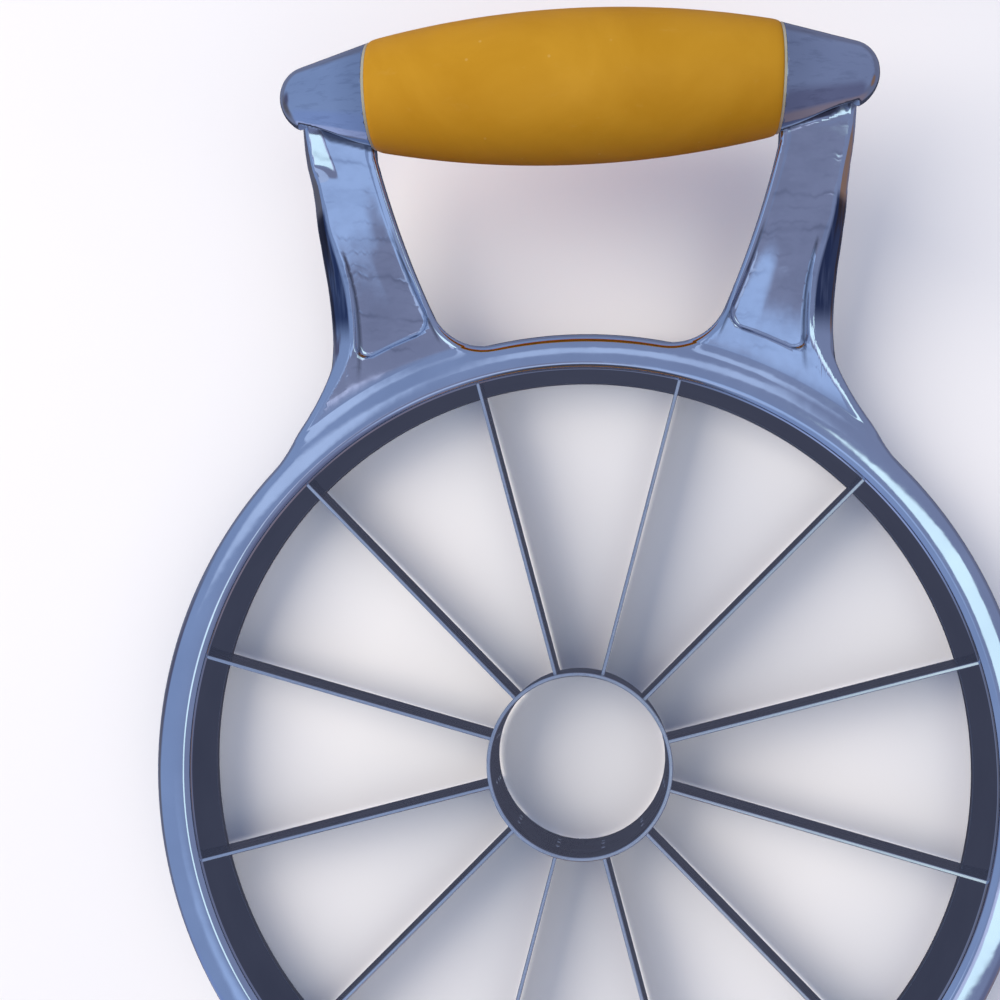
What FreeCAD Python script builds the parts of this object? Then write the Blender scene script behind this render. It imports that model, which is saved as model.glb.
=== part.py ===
import FreeCAD, Part
import math
import os

# Push-down melon slicer: a rigid cast frame (ring, four arms, four tapered ends, two bars),
# twelve blades between the frame's ring and a thin core ring, a retainer ring screwed into the
# underside, and a two-part core with a soft sleeve on each bar.
# Millimetres, +Z up, origin on the ring's axis in the plane that the tool stands on.
# The handles are at +Y and -Y, and their bars run along X.

V = FreeCAD.Vector

# ---------------------------------------------------------------- driving dimensions
# ring of the frame
RING_OUT = 111.0          # outer radius at the foot
RING_OUT_TOP = 109.6      # outer radius below the top rounding (draft)
RING_IN = 100.0           # inner radius, which is the cutting circle
RING_TOP = 22.0           # height of the ring's top
RING_EDGE_OUT = 3.0       # rounding, top outer
RING_EDGE_IN = 2.2        # rounding, top inner
SKIRT_FOOT = 1.0          # the outer skirt stops this far above the table
CHAN_IN = 103.0           # the channel in the ring's underside, inner radius
CHAN_OUT = 107.0          # the same, outer radius
CHAN_TOP = 18.5           # the same, roof height
REBATE_OUT = 108.7        # rebate for the retainer ring

# retainer ring and its screws
RET_OUT = 108.6
RET_THICK = 2.0
SCREW_COUNT = 6
SCREW_PITCH_R = 104.8
SCREW_SHANK_R = 1.5
SCREW_HEAD_R = 2.8
SCREW_HEAD_Z = 0.15       # the head lies this far inside the face
SCREW_CONE = 1.3          # height of the countersink
SCREW_END = 10.5
BOSS_R = 3.6

# blades and core ring
BLADES = 12
BLADE_FIRST_DEG = 15.0
BLADE_T = 0.9
BLADE_LOW = 1.0
BLADE_HIGH = 20.0
BLADE_BEVEL = 3.5         # height of the ground bevel
BLADE_EDGE = 0.12         # thickness left at the cutting edge
SLOT_W = 1.0
SLOT_TOP = 17.0
TAB_END = 106.4
CORE_OUT = 23.0
CORE_IN = 22.0
CORE_LOW = 1.0
CORE_HIGH = 23.0
CORE_BEVEL = 3.0
WINDOW_LOW = 6.0
WINDOW_HIGH = 16.0

# handles
HANDLE_Y = 160.0          # bar axis, from the ring's axis
HANDLE_Z = 52.0           # bar axis, above the table
CAP_X = 47.5              # where the tapered end begins
CAP_R = 12.0              # its radius there
NOSE_R = 7.6
NOSE_X = 62.1             # centre of the rounded nose
BAR_R = 7.0
BAR_FLAT = 5.5            # half the height over the bar's two flats

# grips
GRIP_MID_R = 17.15
GRIP_END_R = 12.35
GRIP_CHAMFER = 1.9
SLEEVE_T = 2.5
FLANGE_T = 0.6
PEG_R = 1.2
PEG_H = 2.5
PEG_X = 30.0
PEG_Y = 10.1

# arms
ARM_DISH = 0.9            # depth of the dished face
ARM_RIM = 1.7             # width of the raised rim
ARM_STATIONS = (-0.30, -0.12, 0.0, 0.07, 0.16, 0.30, 0.45, 0.60, 0.75, 0.88, 0.94, 1.0, 1.07)


# ---------------------------------------------------------------- helpers
def poly(points):
    pts = [V(*p) for p in points]
    return Part.makePolygon(pts + [pts[0]])


def revolve_z(points):
    # a closed (r, z) outline turned about the Z axis
    face = Part.Face(poly([(r, 0, z) for r, z in points]))
    return face.revolve(V(0, 0, 0), V(0, 0, 1), 360)


def wire_rz(edges):
    return Part.Face(Part.Wire(edges)).revolve(V(0, 0, 0), V(0, 0, 1), 360)


def seg(a, b):
    return Part.LineSegment(V(*a), V(*b)).toShape()


def arc(a, m, b):
    return Part.Arc(V(*a), V(*m), V(*b)).toShape()


def turned(shape, deg):
    s = shape.copy()
    s.rotate(V(0, 0, 0), V(0, 0, 1), deg)
    return s


def mirrored(shape, axis):
    return shape.mirror(V(0, 0, 0), V(*axis))


def one_solid(shape, name):
    s = shape.removeSplitter()
    if s.ShapeType != "Solid":
        solids = s.Solids
        if len(solids) != 1:
            raise RuntimeError("%s has %d solids" % (name, len(solids)))
        s = solids[0]
    if not s.isValid():
        raise RuntimeError(name + " is not valid")
    return s


# ---------------------------------------------------------------- arm geometry
# An arm is given in plan by its inner and outer edge, and in height by its top face. The
# parameter s runs from 0 at the ring's top edge to 1 below the tapered end.
def x_inner(y):
    d = max(0.0, 150.0 - y)
    return 49.0 - 0.22 * d - 0.0032 * d * d


def x_outer(y):
    e = min(max(0.0, 118.0 - y), 34.0)
    return 67.5 - 0.085 * (156.0 - y) + 0.006 * e * e


def arm_section(s):
    yi = 104.5 + (157.0 - 104.5) * s
    yo = 88.5 + (157.0 - 88.5) * s
    xi, xo = x_inner(yi), x_outer(yo)
    c = min(max(s, 0.0), 1.07)
    top = 21.5 + 23.0 * (0.78 * c + 0.22 * c * c) if s > 0 else 21.5 + 8.0 * s
    thick = 6.2 + 3.6 * max(0.0, 1 - max(s, 0.0) / 0.35) ** 2 + (4.0 if s < 0 else 0.0)
    low_in = top - thick
    low_out = top - thick
    if s > 0.45:  # the underside tilts to follow the tapered end
        low_out += 4.2 * ((s - 0.45) / 0.55) ** 1.5
        low_in += 1.4 * ((s - 0.45) / 0.55) ** 1.5
    flank = 1.0 + 2.4 * max(0.0, 1 - max(s, 0.0)) ** 1.3
    dish = ARM_DISH * min(1.0, max(0.0, (s - 0.07) / 0.09)) * min(1.0, max(0.0, (0.94 - s) / 0.06))
    w = math.hypot(xo - xi, yo - yi)
    ux, uy = (xo - xi) / w, (yo - yi) / w
    rows = [
        (1.6, low_in), (0.0, low_in + 1.6), (0.0, top - 0.8), (0.7, top), (ARM_RIM, top),
        (ARM_RIM + 1.0, top - dish), (w - flank - ARM_RIM - 0.8, top - dish),
        (w - flank - ARM_RIM + 0.2, top), (w - flank, top), (w - 0.35 * flank, top - 1.2),
        (w, top - 0.55 * thick), (w - 0.9, low_out + 0.7), (w - 2.2, low_out),
    ]
    return poly([(xi + ux * a, yi + uy * a, z) for a, z in rows])


def make_arm():
    arm = Part.makeLoft([arm_section(s) for s in ARM_STATIONS], True, True)
    keep_off = Part.makeCylinder(108.4, 60, V(0, 0, -10))
    arm = arm.cut(keep_off)
    return max(arm.Solids, key=lambda q: q.Volume)


# ---------------------------------------------------------------- frame casting
def tapered_end():
    # outline in (x, r), turned about the bar's axis: cone, tangent nose
    run = math.hypot(NOSE_X - CAP_X, CAP_R)
    half = math.atan2(CAP_R, NOSE_X - CAP_X) - math.asin(NOSE_R / run)
    tx, tr = NOSE_X + NOSE_R * math.sin(half), NOSE_R * math.cos(half)
    mid = (math.pi / 2 - half) / 2
    mx, mr = NOSE_X + NOSE_R * math.cos(mid), NOSE_R * math.sin(mid)
    y, z = HANDLE_Y, HANDLE_Z
    edges = [
        seg((CAP_X, y, z), (CAP_X, y, z + CAP_R)),
        seg((CAP_X, y, z + CAP_R), (tx, y, z + tr)),
        arc((tx, y, z + tr), (mx, y, z + mr), (NOSE_X + NOSE_R, y, z)),
        seg((NOSE_X + NOSE_R, y, z), (CAP_X, y, z)),
    ]
    return Part.Face(Part.Wire(edges)).revolve(V(0, y, z), V(1, 0, 0), 360)


def bar(length, radius_extra=0.0):
    r, f = BAR_R + radius_extra, BAR_FLAT + radius_extra
    c = Part.makeCylinder(r, length, V(-length / 2, HANDLE_Y, HANDLE_Z), V(1, 0, 0))
    b = Part.makeBox(length, 4 * r, 2 * f, V(-length / 2, HANDLE_Y - 2 * r, HANDLE_Z - f))
    return c.common(b)


def ring_body():
    k = math.sqrt(0.5)
    ro, ri = RING_EDGE_OUT, RING_EDGE_IN
    t, o, i = RING_TOP, RING_OUT_TOP, RING_IN
    edges = [
        seg((RING_OUT, 0, SKIRT_FOOT), (o, 0, t - ro)),
        arc((o, 0, t - ro), (o - ro + ro * k, 0, t - ro + ro * k), (o - ro, 0, t)),
        seg((o - ro, 0, t), (i + ri, 0, t)),
        arc((i + ri, 0, t), (i + ri - ri * k, 0, t - ri + ri * k), (i, 0, t - ri)),
        seg((i, 0, t - ri), (i, 0, RET_THICK)),
        seg((i, 0, RET_THICK), (CHAN_IN, 0, RET_THICK)),
        seg((CHAN_IN, 0, RET_THICK), (CHAN_IN, 0, CHAN_TOP)),
        seg((CHAN_IN, 0, CHAN_TOP), (CHAN_OUT, 0, CHAN_TOP)),
        seg((CHAN_OUT, 0, CHAN_TOP), (CHAN_OUT, 0, RET_THICK)),
        seg((CHAN_OUT, 0, RET_THICK), (REBATE_OUT, 0, RET_THICK)),
        seg((REBATE_OUT, 0, RET_THICK), (REBATE_OUT, 0, SKIRT_FOOT)),
        seg((REBATE_OUT, 0, SKIRT_FOOT), (RING_OUT, 0, SKIRT_FOOT)),
    ]
    ring = wire_rz(edges)
    # screw bosses across the channel
    for n in range(SCREW_COUNT):
        a = math.radians(360.0 / SCREW_COUNT * n)
        at = V(SCREW_PITCH_R * math.cos(a), SCREW_PITCH_R * math.sin(a), RET_THICK)
        boss = Part.makeCylinder(BOSS_R, CHAN_TOP - RET_THICK + 0.5, at)
        boss = boss.common(revolve_z([(CHAN_IN - 1, 0), (CHAN_OUT + 1, 0), (CHAN_OUT + 1, 25), (CHAN_IN - 1, 25)]))
        ring = ring.fuse(boss)
    return ring


def frame_casting():
    parts = []
    arm = make_arm()
    end = tapered_end()
    for mx in (False, True):
        for my in (False, True):
            for p in (arm, end):
                q = p
                if mx:
                    q = mirrored(q, (1, 0, 0))
                if my:
                    q = mirrored(q, (0, 1, 0))
                parts.append(q)
    b = bar(2 * CAP_X + 4)
    parts += [b, mirrored(b, (0, 1, 0))]
    body = ring_body().multiFuse(parts)
    # twelve slots for the blades' outer tabs, open at the bottom
    slot = Part.makeBox(CHAN_IN + 1.0 - (RING_IN - 2), SLOT_W, SLOT_TOP - RET_THICK + 1,
                        V(RING_IN - 2, -SLOT_W / 2, RET_THICK - 1))
    cuts = [turned(slot, BLADE_FIRST_DEG + 360.0 / BLADES * n) for n in range(BLADES)]
    # six blind screw holes
    for n in range(SCREW_COUNT):
        a = math.radians(360.0 / SCREW_COUNT * n)
        at = V(SCREW_PITCH_R * math.cos(a), SCREW_PITCH_R * math.sin(a), RET_THICK - 0.5)
        cuts.append(Part.makeCylinder(SCREW_SHANK_R, SCREW_END + 0.5 - RET_THICK + 0.5, at))
    body = body.cut(Part.makeCompound(cuts))
    return one_solid(body, "frame_casting")


# ---------------------------------------------------------------- retainer ring, screws
def screw_shape():
    # one countersunk screw at the origin, pointing up, with a cross recess in the head
    z0 = SCREW_HEAD_Z
    zc = z0 + SCREW_CONE
    pts = [(0, z0), (SCREW_HEAD_R, z0), (SCREW_HEAD_R, z0 + 0.2), (SCREW_SHANK_R, zc + 0.2),
           (SCREW_SHANK_R, SCREW_END - 0.8), (SCREW_SHANK_R - 0.8, SCREW_END), (0, SCREW_END)]
    s = revolve_z(pts)
    for q in (0, 90):
        s = s.cut(turned(Part.makeBox(3.0, 0.7, 0.9, V(-1.5, -0.35, z0 - 0.1)), q))
    return one_solid(s, "screw")


def retainer_ring():
    ring = revolve_z([(RING_IN, 0), (RET_OUT, 0), (RET_OUT, RET_THICK), (RING_IN, RET_THICK)])
    z0 = SCREW_HEAD_Z
    seat = revolve_z([(0, -1), (SCREW_HEAD_R, -1), (SCREW_HEAD_R, z0 + 0.2),
                      (SCREW_SHANK_R, z0 + SCREW_CONE + 0.2), (SCREW_SHANK_R, 3), (0, 3)])
    cuts = []
    for n in range(SCREW_COUNT):
        s = seat.copy()
        s.translate(V(SCREW_PITCH_R, 0, 0))
        cuts.append(turned(s, 360.0 / SCREW_COUNT * n))
    return one_solid(ring.cut(Part.makeCompound(cuts)), "blade_retainer_ring")


def retainer_screws():
    out = []
    for n in range(SCREW_COUNT):
        s = screw_shape()
        s.translate(V(SCREW_PITCH_R, 0, 0))
        out.append(turned(s, 360.0 / SCREW_COUNT * n))
    return Part.makeCompound(out)


# ---------------------------------------------------------------- core ring and blades
def core_ring():
    ring = revolve_z([
        (CORE_IN, CORE_LOW), (CORE_IN + 0.12, CORE_LOW), (CORE_OUT, CORE_LOW + CORE_BEVEL),
        (CORE_OUT, CORE_HIGH - 0.25), (CORE_OUT - 0.25, CORE_HIGH),
        (CORE_IN + 0.25, CORE_HIGH), (CORE_IN, CORE_HIGH - 0.25)])
    window = Part.makeBox(4.0, BLADE_T, WINDOW_HIGH - WINDOW_LOW, V(CORE_IN - 1.5, -BLADE_T / 2, WINDOW_LOW))
    cuts = [turned(window, BLADE_FIRST_DEG + 360.0 / BLADES * n) for n in range(BLADES)]
    return one_solid(ring.cut(Part.makeCompound(cuts)), "core_ring")


def blade():
    h, e = BLADE_T / 2, BLADE_EDGE / 2
    outline = [(CORE_OUT, -e, BLADE_LOW), (CORE_OUT, e, BLADE_LOW), (CORE_OUT, h, BLADE_LOW + BLADE_BEVEL),
               (CORE_OUT, h, BLADE_HIGH), (CORE_OUT, -h, BLADE_HIGH), (CORE_OUT, -h, BLADE_LOW + BLADE_BEVEL)]
    body = Part.Face(poly(outline)).extrude(V(RING_IN - 0.01 - CORE_OUT, 0, 0))
    tab = Part.makeBox(TAB_END - RING_IN + 0.51, BLADE_T, SLOT_TOP - RET_THICK, V(RING_IN - 0.51, -h, RET_THICK))
    inner = Part.makeBox(CORE_OUT - CORE_IN + 0.45, BLADE_T, WINDOW_HIGH - WINDOW_LOW,
                         V(CORE_IN + 0.05, -h, WINDOW_LOW))
    return one_solid(body.multiFuse([tab, inner]), "blade")


# ---------------------------------------------------------------- grips
def arc_radius(mid, end, half):
    sag = mid - end
    return (half * half + sag * sag) / (2 * sag)


BARREL_R = arc_radius(GRIP_MID_R, GRIP_END_R, CAP_X)       # radius of the barrel's long arc
BARREL_C = GRIP_MID_R - BARREL_R                            # its centre, as a height from the axis


def barrel_r(x, inset):
    return BARREL_C + math.sqrt((BARREL_R - inset) ** 2 - x * x)


def turned_x(edges):
    return Part.Face(Part.Wire(edges)).revolve(V(0, HANDLE_Y, HANDLE_Z), V(1, 0, 0), 360)


def p(x, r):
    return (x, HANDLE_Y, HANDLE_Z + r)


def grip_sleeve():
    xe = CAP_X - FLANGE_T
    xc = xe - GRIP_CHAMFER
    re = barrel_r(xc, 0)
    xm = xe - 0.3 * GRIP_CHAMFER
    bulge = re - 0.30 * (re - CAP_R)
    edges = [
        arc(p(-xc, re), p(0, GRIP_MID_R), p(xc, re)),
        arc(p(xc, re), p(xm, bulge), p(xe, CAP_R)),
        seg(p(xe, CAP_R), p(xe, barrel_r(xe, SLEEVE_T))),
        arc(p(xe, barrel_r(xe, SLEEVE_T)), p(0, GRIP_MID_R - SLEEVE_T), p(-xe, barrel_r(xe, SLEEVE_T))),
        seg(p(-xe, barrel_r(xe, SLEEVE_T)), p(-xe, CAP_R)),
        arc(p(-xe, CAP_R), p(-xm, bulge), p(-xc, re)),
    ]
    return one_solid(turned_x(edges), "grip_sleeve")


def grip_core_whole():
    xe = CAP_X - FLANGE_T
    r = barrel_r(xe, SLEEVE_T)
    edges = [
        arc(p(-xe, r), p(0, GRIP_MID_R - SLEEVE_T), p(xe, r)),
        seg(p(xe, r), p(xe, CAP_R)),
        seg(p(xe, CAP_R), p(CAP_X, CAP_R)),
        seg(p(CAP_X, CAP_R), p(CAP_X, 0)),
        seg(p(CAP_X, 0), p(-CAP_X, 0)),
        seg(p(-CAP_X, 0), p(-CAP_X, CAP_R)),
        seg(p(-CAP_X, CAP_R), p(-xe, CAP_R)),
        seg(p(-xe, CAP_R), p(-xe, r)),
    ]
    return turned_x(edges).cut(bar(2 * CAP_X + 2))


def grip_cores():
    whole = grip_core_whole()
    big = 60.0
    low = whole.common(Part.makeBox(4 * big, 2 * big, big, V(-2 * big, HANDLE_Y - big, HANDLE_Z - big)))
    high = whole.common(Part.makeBox(4 * big, 2 * big, big, V(-2 * big, HANDLE_Y - big, HANDLE_Z)))
    pegs, holes = [], []
    for x in (-PEG_X, PEG_X):
        for y in (-PEG_Y, PEG_Y):
            pegs.append(Part.makeCylinder(PEG_R, PEG_H + 1, V(x, HANDLE_Y + y, HANDLE_Z - 1)))
            holes.append(Part.makeCylinder(PEG_R, PEG_H + 0.3, V(x, HANDLE_Y + y, HANDLE_Z)))
    low = low.multiFuse(pegs)
    high = high.cut(Part.makeCompound(holes))
    return one_solid(low, "lower core"), one_solid(high, "upper core")


# ---------------------------------------------------------------- write the nodes
def build():
    nodes = {}
    nodes["frame_casting"] = frame_casting()
    nodes["blade_retainer_ring"] = retainer_ring()
    nodes["retainer_screws"] = retainer_screws()
    nodes["core_ring"] = core_ring()
    one = blade()
    for n in range(BLADES):
        nodes["blade_%02d" % (n + 1)] = turned(one, BLADE_FIRST_DEG + 360.0 / BLADES * n)
    low, high = grip_cores()
    sleeve = grip_sleeve()
    nodes["rear_grip_lower_core"] = low
    nodes["rear_grip_upper_core"] = high
    nodes["rear_grip_sleeve"] = sleeve
    nodes["front_grip_lower_core"] = mirrored(low, (0, 1, 0))
    nodes["front_grip_upper_core"] = mirrored(high, (0, 1, 0))
    nodes["front_grip_sleeve"] = mirrored(sleeve, (0, 1, 0))
    return nodes


os.makedirs("parts", exist_ok=True)
for name, shape in build().items():
    b = shape.BoundBox
    print("%-24s solids %d  volume %9.1f  x %.1f..%.1f  y %.1f..%.1f  z %.2f..%.2f  valid %s" % (
        name, len(shape.Solids), shape.Volume, b.XMin, b.XMax, b.YMin, b.YMax, b.ZMin, b.ZMax, shape.isValid()))
    shape.exportStep(os.path.join("parts", name + ".step"))
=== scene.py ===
import math

import bpy
import numpy as np
from mathutils import Matrix, Vector


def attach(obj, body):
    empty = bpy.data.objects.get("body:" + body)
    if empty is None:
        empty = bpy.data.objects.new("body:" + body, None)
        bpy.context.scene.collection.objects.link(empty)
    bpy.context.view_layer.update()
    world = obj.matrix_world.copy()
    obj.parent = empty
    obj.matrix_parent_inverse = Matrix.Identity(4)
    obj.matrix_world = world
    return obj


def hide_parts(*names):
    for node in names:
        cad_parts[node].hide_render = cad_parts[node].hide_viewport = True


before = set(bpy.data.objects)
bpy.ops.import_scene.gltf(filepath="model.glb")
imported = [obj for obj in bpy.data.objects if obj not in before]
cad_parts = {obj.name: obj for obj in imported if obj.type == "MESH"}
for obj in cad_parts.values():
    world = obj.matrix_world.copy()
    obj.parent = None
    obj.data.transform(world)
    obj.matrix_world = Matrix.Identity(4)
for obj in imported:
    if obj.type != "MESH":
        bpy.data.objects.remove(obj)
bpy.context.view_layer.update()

MM = 0.001
TAU = 2 * math.pi
scene = bpy.context.scene

# ------------------------------------------------------------------ the object's dimensions, mm
HANDLE_Y, HANDLE_Z = 160.0, 52.0
CAP_X, CAP_R, NOSE_R, NOSE_X = 47.5, 12.0, 7.6, 62.1
CAP_HALF = math.atan2(CAP_R, NOSE_X - CAP_X) - math.asin(NOSE_R / math.hypot(NOSE_X - CAP_X, CAP_R))
BAR_R, BAR_FLAT = 7.0, 5.5
GRIP_MID_R, GRIP_END_R, GRIP_CHAMFER, SLEEVE_T = 17.15, 12.35, 1.9, 2.5
FLANGE_T = 0.6
RING_TOP, RING_IN = 22.0, 100.0


# ------------------------------------------------------------------ camera
def rot_from(w):
    w = np.radians(w)
    th = float(np.linalg.norm(w))
    k = w / th
    K = np.array([[0, -k[2], k[1]], [k[2], 0, -k[0]], [-k[1], k[0], 0]])
    return np.eye(3) + math.sin(th) * K + (1 - math.cos(th)) * K @ K


cam_data = bpy.data.cameras.new("camera")
cam = bpy.data.objects.new("camera", cam_data)
scene.collection.objects.link(cam)
cam_rot = rot_from(np.array([5.108, 6.0065, -0.1456]))
m = Matrix([list(map(float, r)) + [0.0] for r in cam_rot] + [[0, 0, 0, 1]])
cam.matrix_world = Matrix.Translation(Vector((9.452, 41.321, 299.757)) * MM) @ m
cam_data.sensor_width = 36.0
cam_data.lens = 36.0 * 1100.0 / 1000.0
cam_data.clip_start = 0.01
cam_data.clip_end = 20.0
scene.camera = cam


# ------------------------------------------------------------------ mesh helpers
def new_object(name, verts, faces, smooth=True):
    me = bpy.data.meshes.new(name)
    me.from_pydata([tuple(map(float, v)) for v in verts], [], [tuple(int(i) for i in f) for f in faces])
    me.validate()
    me.update()
    ob = bpy.data.objects.new(name, me)
    scene.collection.objects.link(ob)
    if smooth:
        me.polygons.foreach_set("use_smooth", [True] * len(me.polygons))
    return ob


def fast_mesh(name, verts, quads, normals=None):
    """verts (n,3) in metres, quads (m,4); normals (n,3) are kept as custom normals."""
    me = bpy.data.meshes.new(name)
    n, q = len(verts), len(quads)
    me.vertices.add(n)
    me.vertices.foreach_set("co", np.asarray(verts, np.float32).ravel())
    me.loops.add(q * 4)
    me.loops.foreach_set("vertex_index", np.asarray(quads, np.int32).ravel())
    me.polygons.add(q)
    me.polygons.foreach_set("loop_start", np.arange(0, q * 4, 4, dtype=np.int32))
    me.polygons.foreach_set("use_smooth", np.ones(q, bool))
    me.update(calc_edges=True)
    me.validate()
    if normals is not None:
        me.normals_split_custom_set_from_vertices([tuple(map(float, v)) for v in normals])
    ob = bpy.data.objects.new(name, me)
    scene.collection.objects.link(ob)
    return ob


# ------------------------------------------------------------------ the casting as a distance field
def rmax(a, b, r):
    """Intersection, its edge rounded to radius r."""
    u, v = np.maximum(a + r, 0), np.maximum(b + r, 0)
    return np.minimum(np.maximum(a, b), -r) + np.hypot(u, v)


def rmin(a, b, r):
    """Union, its inside corner filled to radius r."""
    u, v = np.maximum(r - a, 0), np.maximum(r - b, 0)
    return np.maximum(np.minimum(a, b), r) - np.hypot(u, v)


def ramp(t):
    t = np.clip(t, 0, 1)
    return t * t * (3 - 2 * t)


def x_inner(y):
    d = np.maximum(0.0, 150.0 - y)
    return 49.0 - 0.22 * d - 0.0032 * d * d


def x_inner_slope(y):
    return 0.22 + 0.0064 * np.maximum(0.0, 150.0 - y)


def x_outer(y):
    e = np.clip(118.0 - y, 0.0, 34.0)
    return 67.75 - 0.085 * (156.0 - y) + 0.006 * e * e


EPS_S = 0.06
C2 = 1 - 0.8 * (math.sqrt(1 + EPS_S ** 2) - EPS_S)


def arm_s(x, y):
    y0 = np.sqrt(107.0 ** 2 - np.minimum(x, 80.0) ** 2)
    return (y - y0) / (157.0 - y0)


def arm_top(x, y):
    s = np.clip(arm_s(x, y), 0, 1.10)
    return 22.0 + 22.5 * (0.8 * (np.sqrt(s * s + EPS_S ** 2) - EPS_S) + C2 * s * s)


def arm_bottom(x, y, T):
    s = np.clip(arm_s(x, y), 0, 1.1)
    th = 6.2 + 3.6 * np.maximum(0, 1 - s / 0.35) ** 2
    k = np.maximum(0, (s - 0.45) / 0.55) ** 1.5
    q = np.clip((x - 49.0) / 19.0, 0, 1)
    return T - th + k * (1.4 + 2.8 * q), th


def flank_width(y):
    return 2.1 + 1.1 * ramp((154.0 - y) / 16.0) + 2.3 * ramp((137.0 - y) / 19.0)


def flank_angle(y):
    """Slope of the outer flank: steep below the cap, flatter towards the ring."""
    return np.radians(54.0 - 17.0 * ramp((147.0 - y) / 36.0))


def corner_facet(u, y):
    """Height added at the outer top corner of the dish: a flat that rises outwards and widens
    away from the cap. u is the distance from the flank's upper edge inwards. Only the -X arms
    have it."""
    v = 157.3 - y
    a = 3.45 + 0.17 * np.clip(v, -1, 30) - u
    a = 0.5 * (a + np.sqrt(a * a + 0.16))
    return 0.274 * np.minimum(a, 6.0) * (1 - ramp((v - 8.9) / 4.5))


def cap_flat(x, y, z):
    """The lower front of a tapered end, cut a little flat over the arm."""
    depth = (0.8 + 0.9 * ramp((x - 50.0) / 11.0)) * (1 - ramp((x - 64.4) / 1.3))
    reach = CAP_R - 0.281 * (x - CAP_X) - depth
    return 0.940 * (HANDLE_Y - y) + 0.342 * (HANDLE_Z - z) - reach


def f_cap(x, y, z):
    rho = np.hypot(y - HANDLE_Y, z - HANDLE_Z)
    dx = x - NOSE_X
    sph = np.hypot(dx, rho) - NOSE_R
    ch, sh = math.cos(CAP_HALF), math.sin(CAP_HALF)
    tx, tr = NOSE_R * sh, NOSE_R * ch
    cone = (rho - tr) * ch + (dx - tx) * sh
    on_cone = (dx - tx) * ch - (rho - tr) * sh < 0
    d = np.where(on_cone, cone, sph)
    d = rmax(d, cap_flat(x, y, z), 0.45)
    return rmax(d, (CAP_X - 0.25) - x, 0.2)


def cap_fillet(x):
    """Radius of the corner between arm and tapered end: widest a little inside the nose."""
    return 1.5 + 1.1 * ramp((x - 50.0) / 8.0) - 2.0 * ramp((x - 60.0) / 3.4)


def lip(x, cap):
    """A low raised edge on the arm's face, a few millimetres off the tapered end."""
    off = np.interp(x, [53.5, 57.0, 60.0], [2.75, 2.80, 3.35])
    return 0.055 * np.exp(-((cap - off - 0.25) / 0.95) ** 2)


def crown(R):
    return 0.018 * (np.minimum(R, 110.3) - 104.3) ** 2


def f_ring(x, y, z):
    R = np.hypot(x, y)
    inner = 100.0 - R
    outer = (R - 110.3 + (z - 10.0) * 0.0778) * 0.997
    top = z - (22.0 - crown(R))
    d = rmax(inner, top, 2.2)
    d = rmax(d, outer, 3.0)
    d = rmax(d, 1.0 - z, 0.5)
    rebate = rmax(R - 108.75, z - 2.02, 0.05)
    return rmax(d, -rebate, 0.12)


def f_casting(P, parts=False):
    x, y, z = np.abs(P[:, 0]), np.abs(P[:, 1]), P[:, 2]
    R = np.hypot(x, y)
    ring = f_ring(x, y, z)
    cap = f_cap(x, y, z)
    c = np.clip(R - 110.3, 0, 60)
    w = ramp(c / 16.0)                # 0 on the ring, 1 on the free arm
    sl = x_inner_slope(y)
    di = (x_inner(y) - x) / np.sqrt(1 + sl * sl)
    do = (x - x_outer(y)) * 0.99
    within = ramp((9.0 - np.maximum(di, do)) / 9.0)
    T = 22.0 + (arm_top(x, y) - 22.0) * within - crown(R) * (1 - w)
    fl = flank_width(y)
    right = P[:, 0] > 0
    T = T + (np.where(right, 0.0, corner_facet(-do - fl, y)) - 0.012 * (do - di)) * w
    T = T + np.where(right & (y > 148.0), lip(x, cap), 0.0)
    B, th = arm_bottom(x, y, T)
    # the arm in plan, run into the ring's outline with wide fillets
    r1 = 4.0 * ramp((T - 1.2 - z) / 5.0)
    circle = (R - 110.3 + (z - 10.0) * 0.0778) * 0.997 + r1
    dif = rmin(circle, di, 11.0)
    dof = rmin(circle, do, 14.0)
    fa = flank_angle(y)
    slope = (dof + fl) * np.sin(fa) + (z - T) * np.cos(fa) - 2.6 * (1 - w)
    wave = 0.012 * np.sin(0.97 * y + 0.9 * np.sin(0.21 * x) + 0.5 * np.sin(0.43 * x + 0.2 * y))
    top = (z - T - wave * w) * (1 - 0.07 * w)
    bot = (B - z) * 0.94
    arm = rmax(dif, top, 0.85 + 2.15 * (1 - w))
    arm = rmax(arm, dof, 1.1 + 1.9 * (1 - w))
    arm = rmax(arm, slope, 0.5 + 1.3 * ramp((146.0 - y) / 34.0))
    arm = rmax(arm, bot, 1.4)
    arm = rmax(arm, (y - 161.0), 1.6)
    arm = rmax(arm, 106.2 - R, 0.05)
    # the dished face: level below the cap, sinking towards the ring; its floor isn't quite even
    low = ramp((131.5 - y) / 19.0)
    rec = rmax(1.4 + di, (fl + 1.5) + do, 2.0)
    rec = rmax(rec, 116.5 - R, 5.0)
    lean = ramp((9.0 + di) / 7.0)
    floor = (T + 0.36 - 0.35 * lean - 1.5 * low) - z
    rec = rmax(rec, floor, 1.15)
    arm = rmax(arm, -rec, 0.32)
    # joined to the ring: flush on top, with a fillet below
    body = rmin(ring, arm, r1)
    if parts:
        return body, cap
    body = rmin(body, cap, cap_fillet(x))
    bar = rmax(np.hypot(y - HANDLE_Y, z - HANDLE_Z) - BAR_R, np.abs(z - HANDLE_Z) - BAR_FLAT, 0.4)
    bar = np.maximum(bar, x - 50.0)
    return np.minimum(body, bar)


# ------------------------------------------------------------------ a grid that follows the casting
RC = 112.4            # circle where the ring's zone ends
YL = 146.5            # line where the handle's zone begins


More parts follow.
